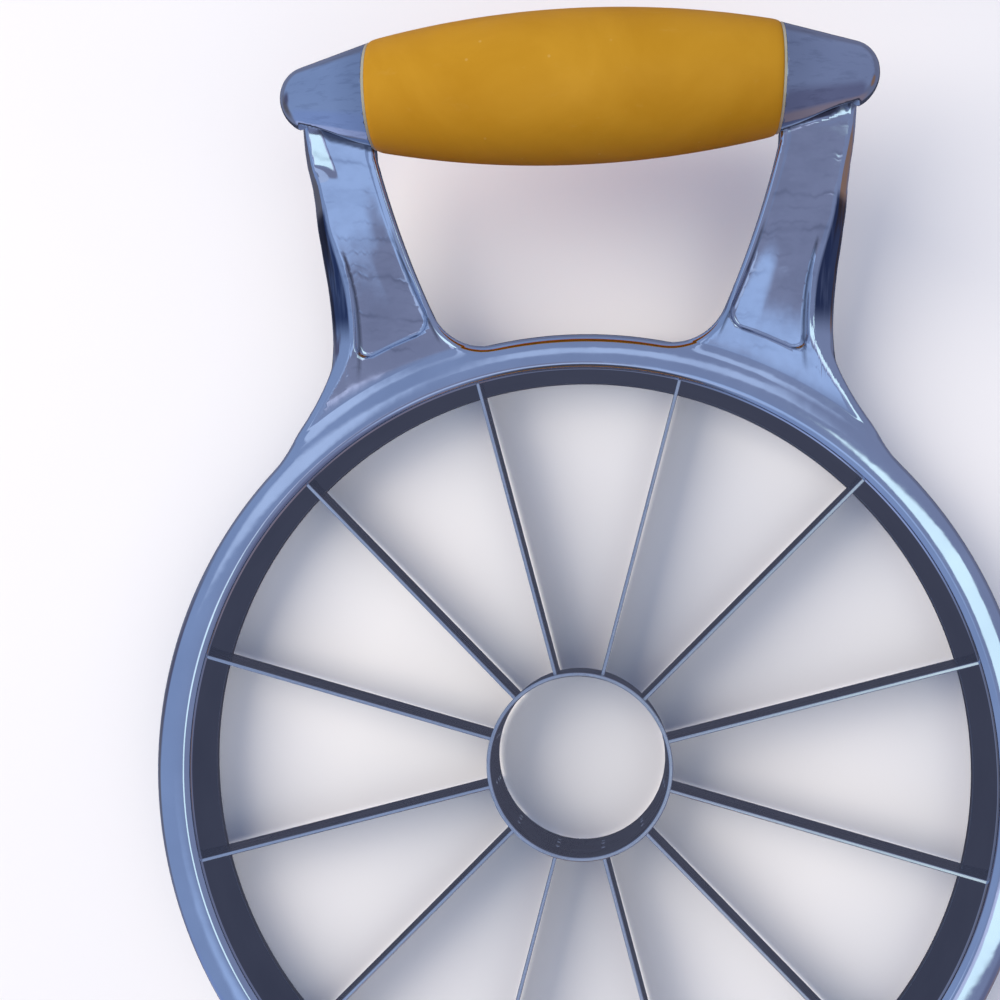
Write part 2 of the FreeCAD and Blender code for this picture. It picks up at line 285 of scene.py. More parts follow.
def key_curve(fx):
    """Where a line x = fx(y) crosses the circle RC, and the line itself for t in 0..1."""
    lo, hi = 60.0, 112.0
    for _ in range(60):
        mid = 0.5 * (lo + hi)
        if math.hypot(float(fx(mid)), mid) < RC:
            lo = mid
        else:
            hi = mid
    y0 = 0.5 * (lo + hi)

    def at(t):
        y = y0 + t * (YL - y0)
        return np.stack([fx(y), y], -1)
    return y0, at


def casting_grid():
    k_lines = [
        lambda y: 0.0 * y,
        lambda y: x_inner(y),
        lambda y: x_inner(y) + 1.9,
        lambda y: x_outer(y) - flank_width(y) - 1.5,
        lambda y: x_outer(y),
    ]
    keys = [key_curve(f) for f in k_lines]
    counts = [20, 5, 22, 9]
    # columns: each is (key interval, fraction)
    cols = []
    for k, n in enumerate(counts):
        for i in range(n):
            q = i / n
            if k == 0:                      # coarse in the finger gap, fine beside the arm
                q = 1 - (1 - q) ** 1.7
            cols.append((k, q))
    far = [0.0, 0.02, 0.042, 0.066, 0.092, 0.12, 0.15, 0.182, 0.216, 0.252]
    far += list(np.linspace(0.252, 1.0, 36)[1:])
    far_x = list(np.linspace(0.0, 6.0, 10)) + list(np.linspace(6.0, 60.0, 36)[1:])
    ring_r = [98.7, 99.5, 100.1, 100.6, 101.1, 101.7, 102.5, 103.6, 104.9, 106.0, 106.9, 107.6, 108.2,
              108.7, 109.15, 109.55, 109.95, 110.35, 110.75, 111.2]
    t_arm = list(np.linspace(0.0, 1.0, 54))
    y_handle = list(np.linspace(YL, 158.5, 25)[1:]) + list(np.linspace(158.5, 174.2, 19)[1:])
    nb = len(ring_r) + len(t_arm) + len(y_handle)
    A = len(cols) + len(far)
    XY = np.zeros((A, nb, 2))
    th_keys = [math.atan2(k[0], float(f(k[0]))) for k, f in zip(keys, k_lines)]
    x_keys = [float(f(YL)) for f in k_lines]
    t = np.array(t_arm)
    yh = np.array(y_handle)
    nr, nt = len(ring_r), len(t_arm)
    for a in range(A):
        if a < len(cols):
            k, q = cols[a]
            th = th_keys[k] + q * (th_keys[k + 1] - th_keys[k])
            xh = x_keys[k] + q * (x_keys[k + 1] - x_keys[k])
            P0, P1 = keys[k][1](t), keys[k + 1][1](t)
            P = (1 - q) * P0 + q * P1
            chord = (1 - q) * P0[0] + q * P1[0]
        else:
            i = a - len(cols)
            th = th_keys[-1] * (1 - far[i])
            xh = x_keys[-1] + far_x[i]
            P0 = keys[-1][1](t)
            c0 = np.array([RC * math.cos(th), RC * math.sin(th)])
            h0 = np.array([xh, YL])
            base = (1 - t)[:, None] * c0 + t[:, None] * h0
            k0 = (1 - t)[:, None] * P0[0] + t[:, None] * P0[-1]
            P = base + (P0 - k0) * (1 - far[i])
            chord = c0
        c = np.array([RC * math.cos(th), RC * math.sin(th)])
        XY[a, :nr, 0] = np.array(ring_r) * math.cos(th)
        XY[a, :nr, 1] = np.array(ring_r) * math.sin(th)
        XY[a, nr:nr + nt] = P + (1 - t)[:, None] * (c - chord)
        XY[a, nr + nt:, 0] = xh
        XY[a, nr + nt:, 1] = yh
    XY[0, :, 0] = 0.0
    XY[-1, :nr, 1] = 0.0
    lv = [-0.2, 0.75, 1.3, 1.75, 2.3, 4.0, 7.5, 10.5, 11.6, 12.4, 13.2, 14.0, 14.7, 15.4, 16.1, 16.8, 17.5, 18.2,
          18.8, 19.3, 19.7, 20.1, 20.5, 20.85, 21.15, 21.45, 21.75, 22.1, 22.5, 23.1]
    lv += list(np.arange(23.9, 43.4, 0.8))
    lv = np.array(lv)
    T = arm_top(XY[..., 0], XY[..., 1])
    G = np.zeros((A, nb, len(lv), 3))
    G[..., 0] = XY[..., 0][:, :, None]
    G[..., 1] = XY[..., 1][:, :, None]
    G[..., 2] = lv[None, None, :] + (T - 22.0)[:, :, None]
    return G


def surface_nets(G, F):
    """Quads round the zero level. The first axis is periodic."""
    A, B, W = F.shape
    inside = F < 0
    nxt = np.roll(inside, -1, 0)
    cnt = np.zeros((A, B - 1, W - 1), np.int8)
    for arr in (inside, nxt):
        for j in (0, 1):
            for k in (0, 1):
                cnt += arr[:, j:B - 1 + j, k:W - 1 + k]
    ci, cj, ck = np.nonzero((cnt > 0) & (cnt < 8))
    ids = np.full((A, B - 1, W - 1), -1, np.int32)
    ids[ci, cj, ck] = np.arange(len(ci))
    corner = [(i, j, k) for i in (0, 1) for j in (0, 1) for k in (0, 1)]
    cf = {c: F[(ci + c[0]) % A, cj + c[1], ck + c[2]] for c in corner}
    cp = {c: G[(ci + c[0]) % A, cj + c[1], ck + c[2]] for c in corner}
    acc = np.zeros((len(ci), 3))
    num = np.zeros(len(ci))
    for c in corner:
        for ax in range(3):
            if c[ax]:
                continue
            d = list(c)
            d[ax] = 1
            d = tuple(d)
            f0, f1 = cf[c], cf[d]
            hit = (f0 < 0) != (f1 < 0)
            tt = np.where(hit, f0 / np.where(hit, f0 - f1, 1), 0)
            pos = cp[c] + tt[:, None] * (cp[d] - cp[c])
            acc += pos * hit[:, None]
            num += hit
    verts = acc / num[:, None]
    quads = []

    def emit(i, j, k, flip, cells):
        q = np.stack([ids[(i + a) % A, j + b, k + c] for a, b, c in cells], 1)
        q[flip] = q[flip][:, ::-1]
        quads.append(q)

    f0 = inside[:, 1:B - 1, 1:W - 1]
    f1 = nxt[:, 1:B - 1, 1:W - 1]
    i, j, k = np.nonzero(f0 != f1)
    emit(i, j + 1, k + 1, f0[i, j, k], [(0, -1, -1), (0, -1, 0), (0, 0, 0), (0, 0, -1)])
    f0, f1 = inside[:, :-1, 1:W - 1], inside[:, 1:, 1:W - 1]
    i, j, k = np.nonzero(f0 != f1)
    emit(i, j, k + 1, f0[i, j, k], [(-1, 0, -1), (0, 0, -1), (0, 0, 0), (-1, 0, 0)])
    f0, f1 = inside[:, 1:B - 1, :-1], inside[:, 1:B - 1, 1:]
    i, j, k = np.nonzero(f0 != f1)
    emit(i, j + 1, k, f0[i, j, k], [(-1, -1, 0), (-1, 0, 0), (0, 0, 0), (0, -1, 0)])
    return verts, np.concatenate(quads)


def settle(F):
    """A grid face whose corners alternate in sign would pinch the surface into one edge: its
    weakest corner changes sign."""
    F = F.copy()
    for p, q in ((0, 1), (0, 2), (1, 2)):
        s = F < 0
        sp, sq = np.roll(s, -1, p), np.roll(s, -1, q)
        spq = np.roll(sp, -1, q)
        for at in np.argwhere((s == spq) & (sp == sq) & (s != sp)):
            corners = []
            for i in (0, 1):
                for j in (0, 1):
                    c = at.copy()
                    c[p] += i
                    c[q] += j
                    corners.append(tuple(c % F.shape))
            weak = min(corners, key=lambda c: abs(F[c]))
            F[weak] = -F[weak]
    return F


def gradient(f, P, h=0.01):
    g = np.zeros_like(P)
    for ax in range(3):
        d = np.zeros(3)
        d[ax] = h
        g[:, ax] = (f(P + d) - f(P - d)) / (2 * h)
    return g


def make_casting():
    G = casting_grid()
    A = G.shape[0]
    # front and rear are alike; the two sides differ a little
    F = f_casting(G.reshape(-1, 3)).reshape(G.shape[:3])
    FL = f_casting((G * (-1, 1, 1)).reshape(-1, 3)).reshape(G.shape[:3])

    def flipped(arr, sx, sy):
        out = arr.copy()
        out[..., 0] *= sx
        out[..., 1] *= sy
        return out
    # quarters in order round the axis: each shares its end columns with the next
    q1, f1 = G, F
    q2, f2 = flipped(G, 1, -1)[::-1][1:], F[::-1][1:]
    q3, f3 = flipped(G, -1, -1)[1:], FL[1:]
    q4, f4 = flipped(G, -1, 1)[::-1][1:-1], FL[::-1][1:-1]
    G4, F4 = np.concatenate([q1, q2, q3, q4]), np.concatenate([f1, f2, f3, f4])
    v, quads = surface_nets(G4, settle(F4))
    for it in range(7):
        f = f_casting(v)
        g = gradient(f_casting, v)
        step = f[:, None] * g / np.maximum((g * g).sum(1), 0.25)[:, None]
        ln = np.linalg.norm(step, axis=1, keepdims=True)
        v = v - step * np.minimum(1, 0.5 / np.maximum(ln, 1e-9))
    n = gradient(f_casting, v, 0.02)
    n /= np.maximum(np.linalg.norm(n, axis=1, keepdims=True), 1e-9)
    # the faces are turned to the outside all together, so that they stay joined edge to edge
    p = v[quads]
    fn = np.cross(p[:, 2] - p[:, 0], p[:, 3] - p[:, 1])
    wrong = (fn * n[quads].mean(1)).sum(1) < 0
    if wrong.mean() > 0.5:
        quads = quads[:, ::-1]
    print("casting", len(v), "verts", len(quads), "quads", "folded", int(min(wrong.sum(), (~wrong).sum())),
          "worst", float(np.abs(f_casting(v)).max()))
    ob = fast_mesh("frame", v * MM, quads, n)
    for name, values in casting_masks(v, n).items():
        at = ob.data.attributes.new(name, "FLOAT", "POINT")
        at.data.foreach_set("value", values.astype(np.float32))
    return ob


def casting_masks(v, n):
    """Per-vertex masks: painted shade in corners and hollows (an occlusion estimate from the distance
    field), the outer flanks of the arms and their part painted dark as a reflection, the flat arm faces and the tapered
    ends."""
    x, y = np.abs(v[:, 0]), np.abs(v[:, 1])
    R = np.hypot(x, y)
    body, cap = f_casting(v, True)
    deep = np.maximum(body, cap) / cap_fillet(x)
    left = v[:, 0] < 0
    full = np.where(left, np.interp(x, [52, 56, 60, 62.6, 64.2], [2.5, 2.6, 3.1, 1.9, -0.6]),
                    np.interp(x, [53, 57, 60.2], [1.3, 1.3, 2.0]))
    none = np.where(left, np.interp(x, [52, 56, 60, 62.6, 64.2], [3.1, 3.5, 4.4, 2.7, -0.1]),
                    np.interp(x, [53, 57, 60.2], [1.9, 2.0, 2.6]))
    corner = np.where(body > cap, ramp((1.25 - deep) / 0.30), ramp((none - cap) / (none - full)) * ramp((1.5 - body) / 0.5))
    corner = corner * ramp((159.0 - y) / 1.5) * ramp((y - 147.0) / 1.0)
    under = 0.9 * ramp((cap_flat(x, y, v[:, 2]) + 0.28) / 0.25) * ramp((x - 47.0) / 1.0) * ramp((0.5 - cap) / 0.3)
    outer_end = 1 - np.where(left, 1.0, 0.25) * ramp((x - 61.8) / 1.4) * ramp((v[:, 2] - 43.0) / 1.2)
    corner = np.maximum(corner, under * ramp((159.0 - y) / 1.5)) * outer_end
    # an occlusion estimate from the distance field: how closed in the surface is, used for painted shade in hollows
    occlusion = np.zeros(len(v))
    for h in (0.9, 2.0):
        occlusion = np.maximum(occlusion, ramp((1.0 - f_casting(v + n * h) / h - 0.12) / 0.6))
    u = x_outer(y) - x
    fl = flank_width(y)
    inner = x - x_inner(y)
    on_arm = ramp((R - 112.0) / 4.0) * ramp((154.5 - y) / 2.0)
    up = ramp((n[:, 2] - 0.55) / 0.15)
    # painted shade on the dish's side walls near the ring
    wall = ramp(1 - np.abs(u - fl - 2.45) / 0.6) * ramp((129.5 - y) / 2.5)
    wall = np.maximum(wall, ramp(1 - np.abs(inner - 1.85) / 0.6) * ramp((134.5 - y) / 5.0))
    # painted shade: corners, hollows and dish walls are darkened where light would be blocked
    crevice_shade_mask = np.maximum(np.maximum(corner, 0.9 * occlusion * (1 - on_arm) * outer_end), wall * on_arm * up)
    s = np.clip(u / fl, 0, 1.2)
    flank = on_arm * ramp((fl + 0.35 - u) / 0.4)
    # painted reflection: the lower outer flanks are coloured dark as if mirroring dark, shaded surroundings
    painted_dark_flank = flank * ramp((139.8 - 1.2 * (1 - s) - y) / 3.0) * (0.95 + 0.05 * ramp((s - 0.48) / 0.2)) * ramp((y - 106.0) / 8.0)
    face = on_arm * ramp((u - fl - 0.3) / 0.8) * ramp((inner - 1.2) / 1.0) * ramp((n[:, 2] - 0.75) / 0.1)
    taper = ramp((y - 145.5) / 1.0) * ramp((x - 46.8) / 0.4) * ramp((0.9 - cap) / 0.5)
    return {"crevice_shade": crevice_shade_mask, "flank": flank, "painted_dark_flank": painted_dark_flank, "face": face, "taper": taper}


# ------------------------------------------------------------------ lathe
def lathe(name, profile, n=160, closed=True, axis="z"):
    """profile: (radius, height) points of a closed outline, mm, turned about Z (or X)."""
    pr = np.array(profile, float)
    m_ = len(pr)
    ang = np.arange(n) / n * TAU
    c, s = np.cos(ang), np.sin(ang)
    V = np.zeros((n, m_, 3))
    if axis == "z":
        V[..., 0] = c[:, None] * pr[None, :, 0]
        V[..., 1] = s[:, None] * pr[None, :, 0]
        V[..., 2] = pr[None, :, 1]
    else:
        V[..., 0] = pr[None, :, 1]
        V[..., 1] = c[:, None] * pr[None, :, 0]
        V[..., 2] = s[:, None] * pr[None, :, 0]
    i = np.arange(n)[:, None]
    j = np.arange(m_)[None, :]
    i2, j2 = (i + 1) % n, (j + 1) % m_
    q = np.stack([i * m_ + j + 0 * i, i2 * m_ + j, i2 * m_ + j2, i * m_ + j2 + 0 * i], -1).reshape(-1, 4)
    v = V.reshape(-1, 3)
    # outward orientation
    p = v[q]
    vol = np.einsum("ij,ij->i", p[:, 0], np.cross(p[:, 1], p[:, 2])).sum() + \
        np.einsum("ij,ij->i", p[:, 0], np.cross(p[:, 2], p[:, 3])).sum()
    if vol < 0:
        q = q[:, ::-1]
    return v, q


def arc_pts(cx, cy, r, a0, a1, n):
    return [(cx + r * math.cos(math.radians(a0 + (a1 - a0) * i / n)),
             cy + r * math.sin(math.radians(a0 + (a1 - a0) * i / n))) for i in range(n + 1)]


def shade(ob, angle=35):
    """Smooth shading with sharp edges where the surface turns by more than angle."""
    me = ob.data
    me.polygons.foreach_set("use_smooth", [True] * len(me.polygons))
    import bmesh
    bm = bmesh.new()
    bm.from_mesh(me)
    lim = math.radians(angle)
    for e in bm.edges:
        if len(e.link_faces) == 2 and e.calc_face_angle(0.0) > lim:
            e.smooth = False
    bm.to_mesh(me)
    bm.free()


# ------------------------------------------------------------------ material helpers
class Nodes:
    """Short calls for building one material's nodes."""

    def __init__(self, name):
        self.mat = bpy.data.materials.new(name)
        self.mat.use_nodes = True
        self.nt = self.mat.node_tree
        self.shader = self.nt.nodes["Principled BSDF"]
        self.co = self.nt.nodes.new("ShaderNodeTexCoord").outputs["Object"]

    def link(self, a, b):
        self.nt.links.new(a, b)

    def set(self, node, **values):
        for k, v in values.items():
            sock = node.inputs[k.replace("_", " ")]
            if isinstance(v, bpy.types.NodeSocket):
                self.link(v, sock)
            else:
                sock.default_value = v

    def mapping(self, scale, vec=None, rotation=(0, 0, 0), location=(0, 0, 0)):
        n = self.nt.nodes.new("ShaderNodeMapping")
        n.inputs["Scale"].default_value = scale
        n.inputs["Rotation"].default_value = rotation
        n.inputs["Location"].default_value = location
        self.link(vec or self.co, n.inputs["Vector"])
        return n.outputs[0]

    def noise(self, scale, detail=2.0, rough=0.5, distortion=0.0, vec=None):
        n = self.nt.nodes.new("ShaderNodeTexNoise")
        self.set(n, Scale=scale, Detail=detail, Roughness=rough, Distortion=distortion)
        self.link(vec or self.co, n.inputs["Vector"])
        return n.outputs["Fac"]

    def wave(self, scale, distortion=0.0, detail=2.0, detail_scale=1.0, direction="Y", vec=None):
        n = self.nt.nodes.new("ShaderNodeTexWave")
        n.wave_type = "BANDS"
        n.bands_direction = direction
        self.set(n, Scale=scale, Distortion=distortion, Detail=detail, Detail_Scale=detail_scale)
        self.link(vec or self.co, n.inputs["Vector"])
        return n.outputs["Fac"]

    def voronoi(self, scale, vec=None, randomness=1.0):
        n = self.nt.nodes.new("ShaderNodeTexVoronoi")
        self.set(n, Scale=scale, Randomness=randomness)
        self.link(vec or self.co, n.inputs["Vector"])
        return n.outputs["Distance"]

    def math(self, op, a, b=0.0, c=0.0, clamp=False):
        n = self.nt.nodes.new("ShaderNodeMath")
        n.operation = op
        n.use_clamp = clamp
        for i, v in enumerate((a, b, c)):
            if isinstance(v, bpy.types.NodeSocket):
                self.link(v, n.inputs[i])
            else:
                n.inputs[i].default_value = v
        return n.outputs[0]

    def axes(self, vec=None):
        n = self.nt.nodes.new("ShaderNodeSeparateXYZ")
        self.link(vec or self.co, n.inputs[0])
        return n.outputs[0], n.outputs[1], n.outputs[2]

    def combine(self, x, y, z):
        n = self.nt.nodes.new("ShaderNodeCombineXYZ")
        for i, v in enumerate((x, y, z)):
            if isinstance(v, bpy.types.NodeSocket):
                self.link(v, n.inputs[i])
            else:
                n.inputs[i].default_value = v
        return n.outputs[0]

    def attribute(self, name):
        n = self.nt.nodes.new("ShaderNodeAttribute")
        n.attribute_name = name
        return n.outputs["Fac"]

    def step(self, v, lo, hi, to_lo=0.0, to_hi=1.0):
        """Smooth change from to_lo at lo to to_hi at hi."""
        n = self.nt.nodes.new("ShaderNodeMapRange")
        n.interpolation_type = "SMOOTHSTEP"
        n.inputs["From Min"].default_value = lo
        n.inputs["From Max"].default_value = hi
        n.inputs["To Min"].default_value = to_lo
        n.inputs["To Max"].default_value = to_hi
        self.link(v, n.inputs["Value"])
        return n.outputs["Result"]

    def ramp(self, fac, stops):
        n = self.nt.nodes.new("ShaderNodeValToRGB")
        el = n.color_ramp.elements
        el[0].position, el[0].color = stops[0][0], (*stops[0][1], 1)
        el[1].position, el[1].color = stops[-1][0], (*stops[-1][1], 1)
        for pos, col in stops[1:-1]:
            e = el.new(pos)
            e.color = (*col, 1)
        self.link(fac, n.inputs["Fac"])
        return n.outputs["Color"]

    def bump(self, height, distance, strength=1.0, normal=None):
        n = self.nt.nodes.new("ShaderNodeBump")
        n.inputs["Strength"].default_value = strength
        n.inputs["Distance"].default_value = distance
        self.link(height, n.inputs["Height"])
        if normal is not None:
            self.link(normal, n.inputs["Normal"])
        return n.outputs["Normal"]


def chrome_material():
    """Bright chrome over a polished casting: ripples across the flat arm faces, lengthwise
    streaks on the tapered ends and on the arms' outer flanks; painted shade in the corners and towards the grip,
    painted dark reflections on the flanks and along the face ripples."""
    m = Nodes("chrome_plating")
    b = m.shader
    m.set(b, Metallic=1.0)
    x, y, z = m.axes()
    ax, ay = m.math("ABSOLUTE", x), m.math("ABSOLUTE", y)
    crevice_shade, flank, dark_flank_attribute, face, taper = [m.attribute(k) for k in ("crevice_shade", "flank", "painted_dark_flank", "face", "taper")]
    tint = m.noise(48.0, 3.0, 0.55)
    clean = m.ramp(tint, [(0.30, (0.60, 0.655, 0.75)), (0.70, (0.69, 0.745, 0.835))])
    # thin wavy creases across the faces, some strong and far apart, some faint and close; they are bumped, and also
    # darkened in colour as painted dark reflections of the ripples
    sway = m.math("MULTIPLY", m.math("SUBTRACT", m.noise(1.0, 2.0, 0.6, vec=m.mapping((230.0, 70.0, 70.0))), 0.5), 0.0042)
    lean = m.math("ADD", m.math("ADD", ay, sway), m.math("MULTIPLY", x, 0.10))
    v1 = m.combine(m.math("MULTIPLY", x, 0.35), lean, 0.0)
    w1 = m.math("POWER", m.wave(36.0, 2.4, 1.5, 1.3, "Y", v1), 34.0)
    w2 = m.math("POWER", m.wave(88.0, 2.4, 2.0, 1.5, "Y", v1), 10.0)
    some1 = m.step(m.noise(70.0, 1.0, 0.5), 0.38, 0.58)
    some2 = m.step(m.noise(130.0, 2.0, 0.5), 0.46, 0.66)
    crease = m.math("ADD", m.math("MULTIPLY", w1, some1), m.math("MULTIPLY", m.math("MULTIPLY", w2, some2), 0.45))
    crease = m.math("MULTIPLY", crease, face)
    cloud = m.math("MULTIPLY", m.step(m.noise(1.0, 3.0, 0.6, vec=m.mapping((110.0, 190.0, 190.0))), 0.40, 0.66), face)
    # long streaks along the tapered ends
    st = m.noise(1.0, 4.0, 0.60, vec=m.mapping((22.0, 640.0, 640.0)))
    streak = m.math("MULTIPLY", m.step(st, 0.50, 0.68), taper)
    # streaks along the flanks, and the painted dark reflection on them that spreads towards the ring
    fs = m.noise(1.0, 3.0, 0.55, vec=m.mapping((760.0, 24.0, 120.0)))
    painted_dark_flank = m.math("MULTIPLY", dark_flank_attribute, m.step(fs, 0.68, 0.50, 0.82, 1.0))
    # painted shade: the tapered ends are coloured darker towards the grip
    grip_end_shade = m.math("MULTIPLY", m.step(ax, 0.0585, 0.0470), taper)
    # darkening of the chrome's colour: painted dark crease reflections and painted shade by the grip, with streak and
    # cloud tone
    tone_and_painted_shade = m.math("ADD", m.math("MULTIPLY", crease, 0.24), m.math("MULTIPLY", streak, 0.15))
    tone_and_painted_shade = m.math("ADD", tone_and_painted_shade, m.math("MULTIPLY", cloud, 0.10))
    tone_and_painted_shade = m.math("ADD", tone_and_painted_shade, m.math("MULTIPLY", grip_end_shade, 0.24))
    keep = m.math("SUBTRACT", 1.0, m.math("MULTIPLY", painted_dark_flank, 0.97))
    keep = m.math("MULTIPLY", keep, m.math("SUBTRACT", 1.0, tone_and_painted_shade), clamp=True)
    # the dark navy colour here is painted dark reflection and painted shade, and the dark tone of the streaks and
    # clouds
    mixer = m.nt.nodes.new("ShaderNodeMix")
    mixer.data_type = "RGBA"
    m.link(keep, mixer.inputs["Factor"])
    mixer.inputs["A"].default_value = (0.045, 0.066, 0.14, 1)
    m.link(clean, mixer.inputs["B"])
    # painted shade: the crevice mask darkens corners and hollows towards a near-black grey
    corners = m.nt.nodes.new("ShaderNodeMix")
    corners.data_type = "RGBA"
    m.link(m.math("MULTIPLY", crevice_shade, 0.84), corners.inputs["Factor"])
    m.link(mixer.outputs["Result"], corners.inputs["A"])
    corners.inputs["B"].default_value = (0.065, 0.066, 0.09, 1)
    m.link(corners.outputs["Result"], b.inputs["Base Color"])
    haze = m.noise(300.0, 4.0, 0.6)
    rough = m.math("ADD", m.step(haze, 0.3, 0.8, 0.055, 0.11), m.math("MULTIPLY", m.math("ADD", crevice_shade, painted_dark_flank), 0.07))
    m.link(rough, b.inputs["Roughness"])
    # slight unevenness of the casting under the plating
    n1 = m.bump(m.noise(130.0, 2.0, 0.5), 0.00005, 1.0)
    n2 = m.bump(m.math("SUBTRACT", 0.0, crease), 0.000014, 1.0, n1)
    n3 = m.bump(m.math("MULTIPLY", st, taper), 0.000018, 1.0, n2)
    n4 = m.bump(m.math("MULTIPLY", fs, flank), 0.00010, 1.0, n3)
    m.link(n4, b.inputs["Normal"])
    return m.mat


def steel_material(name, base, along="X", rough=(0.20, 0.34), fine=0.000006):
    """Ground stainless steel with a fine grain along one axis of the piece, or round its axis."""
    m = Nodes(name)
    b = m.shader
    m.set(b, Metallic=1.0)
    if along == "ROUND":
        x, y, z = m.axes()
        r = m.math("SQRT", m.math("ADD", m.math("MULTIPLY", x, x), m.math("MULTIPLY", y, y)))
        a = m.math("ARCTAN2", y, x)
        vec = m.combine(m.math("MULTIPLY", r, 2600.0), m.math("MULTIPLY", a, 3.0), m.math("MULTIPLY", z, 2600.0))
    elif along == "X":
        vec = m.mapping((40.0, 2600.0, 2600.0))
    else:
        vec = m.mapping((2600.0, 2600.0, 40.0))
    grain = m.noise(1.0, 5.0, 0.7, vec=vec)
    cloud = m.noise(60.0, 3.0, 0.5)
    lo, hi = [tuple(c * k for c in base) for k in (0.86, 1.06)]
    m.link(m.ramp(grain, [(0.30, lo), (0.70, tuple(min(c, 0.95) for c in hi))]), b.inputs["Base Color"])
    mix = m.math("ADD", m.math("MULTIPLY", grain, 0.6), m.math("MULTIPLY", cloud, 0.4))
    m.link(m.step(mix, 0.3, 0.7, rough[0], rough[1]), b.inputs["Roughness"])
    m.link(m.bump(grain, fine, 1.0), b.inputs["Normal"])
    return m.mat


def grip_material():
    """Soft-touch rubber: a fine matt grain, faint rubbed patches, a few pale specks."""
    m = Nodes("soft_touch_rubber")
    b = m.shader
    m.set(b, Metallic=0.0)
    b.inputs["Specular IOR Level"].default_value = 0.16
    cloud = m.noise(42.0, 4.0, 0.6, 0.4)
    base = m.ramp(cloud, [(0.28, (0.485, 0.236, 0.0095)), (0.72, (0.565, 0.290, 0.019))])
    scuff = m.noise(1.0, 5.0, 0.68, 0.5, vec=m.mapping((140.0, 420.0, 420.0), rotation=(0.0, 0.0, 0.2)))
    scuff = m.step(scuff, 0.60, 0.80)
    speck = m.step(m.voronoi(210.0), 0.10, 0.04)
    keep = m.step(m.noise(75.0, 1.0), 0.52, 0.60)
    speck = m.math("MULTIPLY", speck, keep)
    pale = m.math("ADD", m.math("MULTIPLY", scuff, 0.10), m.math("MULTIPLY", speck, 0.22), clamp=True)
    mixer = m.nt.nodes.new("ShaderNodeMix")
    mixer.data_type = "RGBA"
    m.link(pale, mixer.inputs["Factor"])
    m.link(base, mixer.inputs["A"])
    mixer.inputs["B"].default_value = (0.72, 0.52, 0.20, 1)
    m.link(mixer.outputs["Result"], b.inputs["Base Color"])
    rg = m.noise(90.0, 3.0, 0.6)
    m.link(m.math("SUBTRACT", m.step(rg, 0.3, 0.7, 0.42, 0.54), m.math("MULTIPLY", scuff, 0.06)), b.inputs["Roughness"])
    fine = m.noise(2600.0, 2.0, 0.55)
    n1 = m.bump(fine, 0.000014, 1.0)
    n2 = m.bump(m.noise(160.0, 2.0, 0.5), 0.00004, 1.0, n1)
    m.link(n2, b.inputs["Normal"])
    return m.mat


def core_plastic_material():
    m = Nodes("core_plastic")
    b = m.shader
    m.set(b, Metallic=0.0)
    c = m.noise(180.0, 3.0, 0.55)
    m.link(m.ramp(c, [(0.3, (0.36, 0.35, 0.26)), (0.7, (0.44, 0.42, 0.32))]), b.inputs["Base Color"])
    m.link(m.step(m.noise(500.0, 2.0), 0.3, 0.7, 0.34, 0.48), b.inputs["Roughness"])
    m.link(m.bump(m.noise(1500.0, 2.0), 0.00001, 1.0), b.inputs["Normal"])
    return m.mat


# ------------------------------------------------------------------ making and registering pieces
def register(ob, node, mat):
    ob.data.materials.append(mat)
    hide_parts(node)
    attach(ob, "root")
    return ob


def baked(ob):
    """The object's mesh with its modifiers applied."""
    dg = bpy.context.evaluated_depsgraph_get()
    dg.update()
    me = bpy.data.meshes.new_from_object(ob.evaluated_get(dg))
    ob.modifiers.clear()
    ob.data = me
    return ob


def cut(ob, cutters):
    for c in cutters:
        md = ob.modifiers.new("cut", "BOOLEAN")
        md.operation = "DIFFERENCE"
        md.solver = "EXACT"
        md.object = c
    bpy.context.view_layer.update()
    baked(ob)
    for c in cutters:
        bpy.data.objects.remove(c)
    return ob


def soften(ob, width, angle=30, segments=2):
    md = ob.modifiers.new("soften", "BEVEL")
    md.width = width * MM
    md.segments = segments
    md.limit_method = "ANGLE"
    md.angle_limit = math.radians(angle)
    md.harden_normals = False
    bpy.context.view_layer.update()
    return baked(ob)


def join(name, parts):
    """parts: (verts, faces) pairs, joined into one mesh."""
    vs, fs, base = [], [], 0
    for v, f in parts:
        v = np.asarray(v, float)
        vs.append(v)
        fs += [tuple(int(i) + base for i in face) for face in f]
        base += len(v)
    return new_object(name, np.concatenate(vs) * MM, fs)


def turned(v, deg):
    a = math.radians(deg)
    v = np.asarray(v, float)
    out = v.copy()
    out[:, 0] = math.cos(a) * v[:, 0] - math.sin(a) * v[:, 1]
    out[:, 1] = math.sin(a) * v[:, 0] + math.cos(a) * v[:, 1]
    return out


# ------------------------------------------------------------------ grips
SAG = GRIP_MID_R - GRIP_END_R
BARREL_R = (CAP_X ** 2 + SAG ** 2) / (2 * SAG)


def barrel_r(x, inset=0.0):
    return GRIP_MID_R - BARREL_R + math.sqrt((BARREL_R - inset) ** 2 - x * x)


def bezier2(p0, p1, p2, n):
    out = []
    for i in range(n + 1):
        t = i / n
        out.append(tuple((1 - t) ** 2 * a + 2 * t * (1 - t) * b + t * t * c for a, b, c in zip(p0, p1, p2)))
    return out


